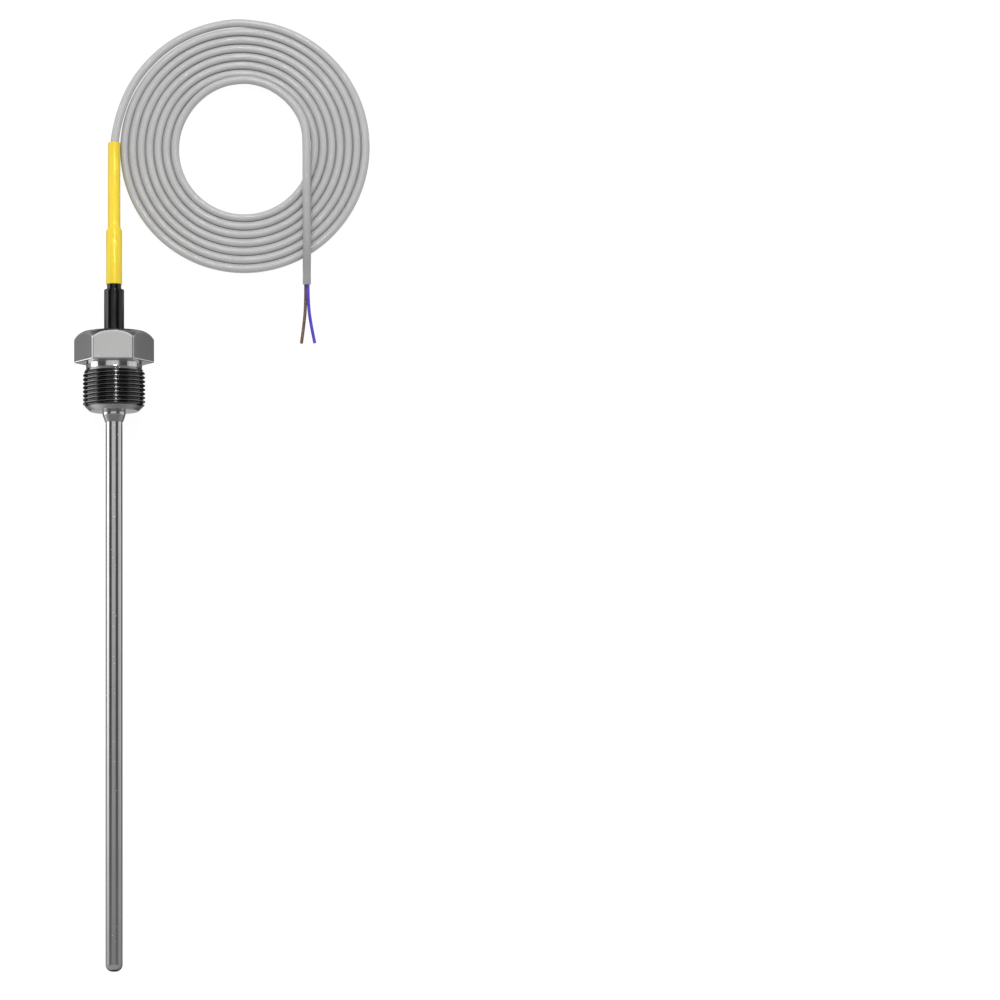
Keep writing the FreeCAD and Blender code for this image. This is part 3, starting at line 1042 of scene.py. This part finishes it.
@dataclass
class CoiledCable:
    """Grey cable from the label round its flat coil to the stripped end, in metres."""

    shop: PaintShop
    diameter: float = 0.003
    coil_offset: Point2 = (0.0461, 0.081)
    turns: int = 7
    pitch: float = 0.00305
    start_radius: float = 0.04522
    stretch: float = 1.022
    points_per_turn: int = 24
    climb_from: float = 6.82
    climb_out: float = 0.0005
    climb_up: float = 0.0016
    exit_aside: float = -0.0003
    exit_height: float = 0.0035
    lead: Sequence[Point3] = (
        (-0.0458, 0.0075, 0.0034), (-0.04275, 0.01745, 0.0029), (-0.03915, 0.0248, 0.00235),
        (-0.03425, 0.03135, 0.0019), (-0.0284, 0.03695, 0.0016), (-0.0216, 0.0413, 0.0015),
        (-0.0143, 0.0444, 0.0015), (-0.0066, 0.0462, 0.0015),
    )
    tail: Sequence[Point3] = (
        (0.0045, 0.0247, 0.0032), (0.0113, 0.0223, 0.00335), (0.01855, 0.0162, 0.0036),
        (0.0229, 0.0079, 0.0043), (0.02315, -0.0022, 0.00475), (0.0230, -0.0147, 0.0048),
        (0.0231, -0.0272, 0.0048), (0.0231, -0.0389, 0.00475), (0.0230, -0.0458, 0.00235),
        (0.0230, -0.0504, 0.00162),
    )
    wire_diameter: float = 0.00115
    core_diameter: float = 0.0005
    core_gap: float = 0.00002
    core_seam: float = 1e-7
    wire_start: Point2 = (0.00042, 0.0004)
    wire_first_run: float = 0.0055
    brown: Sequence[Point3] = ((-0.00085, 0.0131, 0.0006), (-0.00205, 0.0215, 0.0006))
    violet: Sequence[Point3] = ((0.0011, 0.0131, 0.0006), (0.0028, 0.0214, 0.0006))

    @property
    def centre(self) -> Vector:
        """Middle of the coil on the floor."""
        return Vector((self.coil_offset[0], AXIS.origin.y + self.coil_offset[1], 0.0))

    def exit(self) -> Vector:
        """Point where the cable leaves the label."""
        return Vector((self.exit_aside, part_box("label_sleeve")[1].y, self.exit_height))

    def coil(self) -> list[Vector]:
        """Control points of the flat spiral, clockwise from the top and inwards.

        Over its last part the cable climbs sideways onto the turn outside it.

        Returns:
            The points, a little outside the curve that they shape.
        """
        outwards = 1 / math.cos(math.pi / self.points_per_turn)
        points = []
        for k in range(self.turns * self.points_per_turn + 1):
            turn = k / self.points_per_turn
            climb = max(0.0, (turn - self.climb_from) / (self.turns - self.climb_from))
            climb = climb * climb * (3 - 2 * climb)
            radius = (self.start_radius - self.pitch * turn) * outwards + self.climb_out * climb
            angle = FULL_TURN * turn
            across, along = radius * math.sin(angle), radius * math.cos(angle) * self.stretch
            points.append(self.centre + Vector((across, along, self.diameter / 2 + self.climb_up * climb)))
        return points

    def route(self) -> list[Vector]:
        """Control points of the whole cable."""
        lead, tail = ([self.centre + Vector(p) for p in points] for points in (self.lead, self.tail))
        return [self.exit(), *lead, *self.coil(), *tail]

    def wire_route(self, side: int, route: Sequence[Point3]) -> list[Vector]:
        """Control points of one stripped wire.

        Args:
            side: -1 on the left of the cable's end and 1 on the right.
            route: Points after the first run, sideways, onwards and up.

        Returns:
            The points from inside the jacket's end to the wire's cut.
        """
        end, before = self.centre + Vector(self.tail[-1]), self.centre + Vector(self.tail[-2])
        heading = (end - before).normalized()
        start = end + Vector((side * self.wire_start[0], 0, side * self.wire_start[1]))
        knee = start + heading * self.wire_first_run
        knee.z = max(knee.z, self.wire_diameter / 2)
        onward = [Vector((end.x + across, end.y - away, up)) for across, away, up in route]
        return [start, knee, *onward]

    @staticmethod
    def tube(name: str, route: Sequence[Vector], diameter: float) -> Piece:
        """Round open tube along a route.

        Args:
            name: The piece's name.
            route: Its control points.
            diameter: Its outside diameter.

        Returns:
            The tube as a mesh.
        """
        Bench.pick(smooth_curve(name, route, diameter))
        bpy.ops.object.convert(target="MESH")
        return Bench.started(name)

    def build_wire(self, name: str, route: Sequence[Vector]) -> list[Piece]:
        """Makes one stripped wire with its copper core.

        Args:
            name: The wire's colour.
            route: Its control points.

        Returns:
            The insulation and the core.
        """
        wire = self.tube(f"{name}_wire", route, self.wire_diameter)
        wall = (self.wire_diameter - self.core_diameter) / 2
        Bench.finish_modifier(wire, "SOLIDIFY", thickness=wall, offset=-1.0)
        Bench.soften(wire)
        core = self.tube(f"{name}_core", route, self.core_diameter - self.core_gap)
        Bench.edit()
        Bench.close_seams(self.core_seam, fill=True)
        Bench.soften(core)
        return [self.shop.dress(wire, f"{name}_insulation", f"{name}_wire_end"),
                self.shop.dress(core, "copper", f"{name}_core_end")]

    def build(self) -> None:
        cable = smooth_curve("grey_cable", self.route(), self.diameter)
        cable.data.use_fill_caps = True
        self.shop.dress(cable, "grey_jacket", "cable_lead", "cable_coil", "cable_tail")
        wires = self.build_wire("brown", self.wire_route(-1, self.brown))
        wires += self.build_wire("violet", self.wire_route(1, self.violet))
        self.length(cable)

    @staticmethod
    def length(cable: Piece) -> float:
        """Length along the cable's own line.

        Args:
            cable: The curve.

        Returns:
            The length in metres.
        """
        depth, cable.data.bevel_depth = cable.data.bevel_depth, 0.0
        line = bpy.data.meshes.new_from_object(cable)
        cable.data.bevel_depth = depth
        places = [v.co for v in line.vertices]
        return sum((b - a).length for a, b in zip(places, places[1:]))


@dataclass(frozen=True)
class Camera:
    """Long lens almost straight above the sensor, as in the photograph."""

    lens: float = 200.0
    aim: Point3 = (0.138138, 0.018094, 0.005972)
    distance: float = 1.99442
    pitch: float = 8.7
    yaw: float = 1.8
    roll: float = 0.5052

    def build(self) -> None:
        """Adds the camera and makes it the scene's."""
        pitch, yaw, roll = (math.radians(a) for a in (self.pitch, self.yaw, self.roll))
        back = Vector((-math.sin(yaw), -math.sin(pitch) * math.cos(yaw), math.cos(pitch) * math.cos(yaw)))
        up = Vector((math.sin(roll), math.cos(roll), 0.0))
        up = (up - back * up.dot(back)).normalized()
        turn = Matrix((up.cross(back), up, back)).transposed().to_4x4()
        data = bpy.data.cameras.new("camera")
        data.lens = self.lens
        camera = bpy.data.objects.new("camera", data)
        camera.matrix_world = Matrix.Translation(Vector(self.aim) + back * self.distance) @ turn
        bpy.context.scene.collection.objects.link(camera)
        bpy.context.scene.camera = camera


@dataclass(frozen=True)
class Reflector:
    """Glowing form that only reflections see. Each kind paints its own brightness."""

    white: float = 1.54
    grey: float = 0.62

    def light(self, form: Piece, name: str) -> None:
        """Gives the form its glow and hides it from all rays but mirrored ones.

        Args:
            form: The form's mesh.
            name: The name of the glowing material.
        """
        material, sheet = Sheet.of_material(name)
        sheet.end(sheet.node("ShaderNodeEmission", inputs={"Color": self.paint(sheet), "Strength": 1.0}))
        material.cycles.emission_sampling = "NONE"
        form.data.materials.append(material)
        for rays in ("camera", "diffuse", "transmission", "volume_scatter", "shadow"):
            setattr(form, f"visible_{rays}", False)
        form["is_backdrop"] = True

    def paint(self, sheet: Sheet) -> Number:
        """Brightness of the form."""
        raise NotImplementedError


@dataclass(frozen=True)
class LightTent(Reflector):
    """Half sphere with bright panels and dark strips along the sensor.

    The angle across the sensor, from -90 on the left to 90 on the right, picks the
    panel, and the panels fade towards the tip. Other bounds are in metres.
    """

    radius: float = 1.2
    dark: float = 0.085
    left_panel: Edge = (-66.0, -74.0)
    left_gain: Ramp = (0.2, 0.25, 0.7)
    middle_panel: Band = (-30.0, 22.0, 4.0)
    middle_loss: Ramp = (0.2, 0.26, 0.35)
    right_panel: Edge = (55.0, 64.0)
    fade: Ramp = (-0.4, 0.25, 1.09)
    lift: Ramp = (-0.05, -0.2, 0.08)
    low_end: Edge = (-0.2, -0.45)
    low_grey: float = 0.38
    far_end: Edge = (0.88, 0.96)
    far_grey: float = 0.16
    spot_across: Band = (0.06, 0.23, 0.04)
    spot_along: Band = (0.45, 0.9, 0.05)
    spot: float = 28.0

    def build(self) -> None:
        """Halves a sphere and lights it."""
        Bench.clear()
        bpy.ops.mesh.primitive_uv_sphere_add(radius=self.radius, segments=48, ring_count=24)
        tent = Bench.started("light_tent")
        Bench.edit()
        bpy.ops.mesh.bisect(plane_co=(0, 0, 0), plane_no=(0, 0, 1), clear_inner=True)
        Bench.leave_edit()
        self.light(tent, "tent_panels")

    def paint(self, sheet: Sheet) -> Number:
        """Brightness of the tent.

        Args:
            sheet: The material's sheet.

        Returns:
            The brightness.
        """
        x, y, z = sheet.parts(sheet.frame_place())
        angle = x.degrees_from(z)
        left = angle.step(*self.left_panel) * (1.0 + y.ramp(*self.left_gain))
        middle = angle.band(*self.middle_panel) * (1.0 - y.ramp(*self.middle_loss))
        right = angle.step(*self.right_panel)
        panels = (left * self.white + middle * self.grey + right * self.grey) * y.ramp(*self.fade)
        low_end, far_end = y.step(*self.low_end), y.step(*self.far_end)
        spot = x.band(*self.spot_across) * y.band(*self.spot_along)
        between = (panels + y.ramp(*self.lift) + self.dark) * (1.0 - low_end - far_end)
        return between + low_end * self.low_grey + far_end * self.far_grey + spot * self.spot


@dataclass(frozen=True)
class FloorCard(Reflector):
    """Card on the floor that carries the tent's panels on below the horizon.

    The angle in degrees at which the sensor's axis looks down on it picks the panel. Beside
    the hexagon the card is grey, darker on the right. Below the fitting's two faces and
    beside the crown it is lighter. Other bounds are in metres.
    """

    size: float = 0.9
    height: float = 0.00005
    right_side: Edge = (-0.001, 0.001)
    away: Edge = (25.0, 20.0)
    fade: Edge = (-0.25, 0.06)
    beyond: Edge = (0.125, 0.145)
    dark: float = 0.05
    far_gain: float = 0.1
    stripe_gain: float = 0.1
    hexagon_along: Band = (0.069, 0.089, 0.0015)
    hexagon_aside: Edge = (0.068, 0.054)
    hexagon_grey: float = 0.27
    right_loss: float = 0.08
    lower_face: Band = (0.0475, 0.0505, 0.0005)
    upper_face: Band = (0.062, 0.0672, 0.0005)
    face_gain: Ramp = (0.017, 0.015, 0.4)
    crown_along: Band = (0.091, 0.112, 0.002)
    crown_aside: Band = (0.012, 0.04, 0.002)
    crown_gain: float = 0.5

    def build(self) -> None:
        """Lays the card on the floor and lights it."""
        Bench.clear()
        bpy.ops.mesh.primitive_plane_add(size=self.size, location=(0, 0, self.height))
        self.light(Bench.started("floor_card"), "card_panels")

    def paint(self, sheet: Sheet) -> Number:
        """Brightness of the card.

        Args:
            sheet: The material's sheet.

        Returns:
            The brightness.
        """
        x, y, _ = sheet.parts(sheet.frame_place())
        height = (y - AXIS.origin.y) * math.tan(AXIS.tilt) + AXIS.origin.z
        aside = x.maths("ABSOLUTE", x)
        panel = self.white - x.ramp(*self.right_side, self.white - self.grey)
        away = height.degrees_from(aside).step(*self.away)
        beyond = y.step(*self.beyond)
        stripes = (self.stripe_gain + panel * y.step(*self.fade)) * away * (1.0 - beyond)
        stripes = self.dark + stripes + beyond * self.far_gain
        beside = y.band(*self.hexagon_along) * aside.step(*self.hexagon_aside)
        grey = self.hexagon_grey - x.ramp(*self.right_side, self.right_loss)
        faces = (y.band(*self.lower_face) + y.band(*self.upper_face)) * aside.ramp(*self.face_gain)
        crown = y.band(*self.crown_along) * aside.band(*self.crown_aside)
        return stripes + beside * (grey - stripes) + faces + crown * self.crown_gain


@dataclass(frozen=True)
class Studio:
    """Pale floor, reflectors, a soft lamp and white surroundings."""

    floor_size: float = 12.0
    floor_gap: float = 0.00005
    floor_colour: Colour = (0.9, 0.9, 0.9)
    floor_glow: float = 0.86
    floor_white: float = 1.09
    ambient: float = 0.6
    key_place: Point3 = (-0.1, 1.15, 1.3)
    key_size: float = 1.0
    key_power: float = 16.0

    def build(self) -> None:
        """Sets the floor, reflectors, lamp and world."""
        self.make_floor()
        LightTent().build()
        FloorCard().build()
        self.add_lamp()
        self.make_world()

    @staticmethod
    def seen(sheet: Sheet) -> Number:
        """Picks the rays that show the background: straight, mirrored or through glass.

        Args:
            sheet: The sheet that needs to know.

        Returns:
            1 for such rays and 0 for others.
        """
        straight, mirrored, through = (sheet.node("ShaderNodeLightPath", output=f"Is {kind} Ray")
                                       for kind in ("Camera", "Glossy", "Transmission"))
        return straight.larger(mirrored).larger(through)

    def make_floor(self) -> None:
        """White floor that keeps a faint shadow."""
        Bench.clear()
        bpy.ops.mesh.primitive_plane_add(size=self.floor_size, location=(0, 0, -self.floor_gap))
        floor = Bench.started("floor")
        material, sheet = Sheet.of_material("floor_white")
        diffuse = sheet.node("ShaderNodeBsdfDiffuse", inputs={"Color": (*self.floor_colour, 1)})
        glow = sheet.node("ShaderNodeEmission", inputs={"Color": (1, 1, 1, 1), "Strength": self.floor_white})
        glowing = self.seen(sheet) * self.floor_glow
        sheet.end(sheet.node("ShaderNodeMixShader", inputs={0: glowing, 1: diffuse, 2: glow}))
        floor.data.materials.append(material)
        floor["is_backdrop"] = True

    def add_lamp(self) -> None:
        """Adds a soft square lamp that points at the object and stays out of reflections."""
        data = bpy.data.lights.new("key", "AREA")
        data.size = self.key_size
        data.energy = self.key_power
        lamp = bpy.data.objects.new("key", data)
        lamp.location = self.key_place
        lamp.rotation_euler = (-Vector(self.key_place)).to_track_quat("-Z", "Y").to_euler()
        lamp.visible_glossy = False
        bpy.context.scene.collection.objects.link(lamp)

    def make_world(self) -> None:
        """White surroundings, dimmer where they only light the object."""
        world = bpy.data.worlds.new("surroundings")
        world.use_nodes = True
        sheet = Sheet(world.node_tree)
        white = self.ambient + self.seen(sheet) * (1.0 - self.ambient)
        sheet.end(sheet.node("ShaderNodeBackground", inputs={"Color": white, "Strength": 1.0}), "World")
        bpy.context.scene.world = world


def main() -> None:
    """Builds the sensor, its cable and the studio, and notes the two boxes."""
    logging.basicConfig(level=logging.INFO, format="%(name)s: %(message)s")
    solid_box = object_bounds()
    shop = PaintShop()
    shop.dress_solids(frame["record"], frame["nodes"])
    ThreadedFitting(shop).build()
    MeasuringStem(shop).build()
    sleeves = CableSleeves(shop)
    sleeves.build_sleeve()
    sleeves.build_label()
    CoiledCable(shop).build()
    Studio().build()
    Camera().build()
    bpy.context.scene.view_settings.view_transform = "Standard"
    visual_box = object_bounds()
    boxes = {"cad": solid_box, "visual": visual_box}
    for name, (low, high) in boxes.items():
        LOG.info("%s box %s mm", name, [round((b - a) / MM, 1) for a, b in zip(low, high)])


if __name__ == "__main__":
    main()
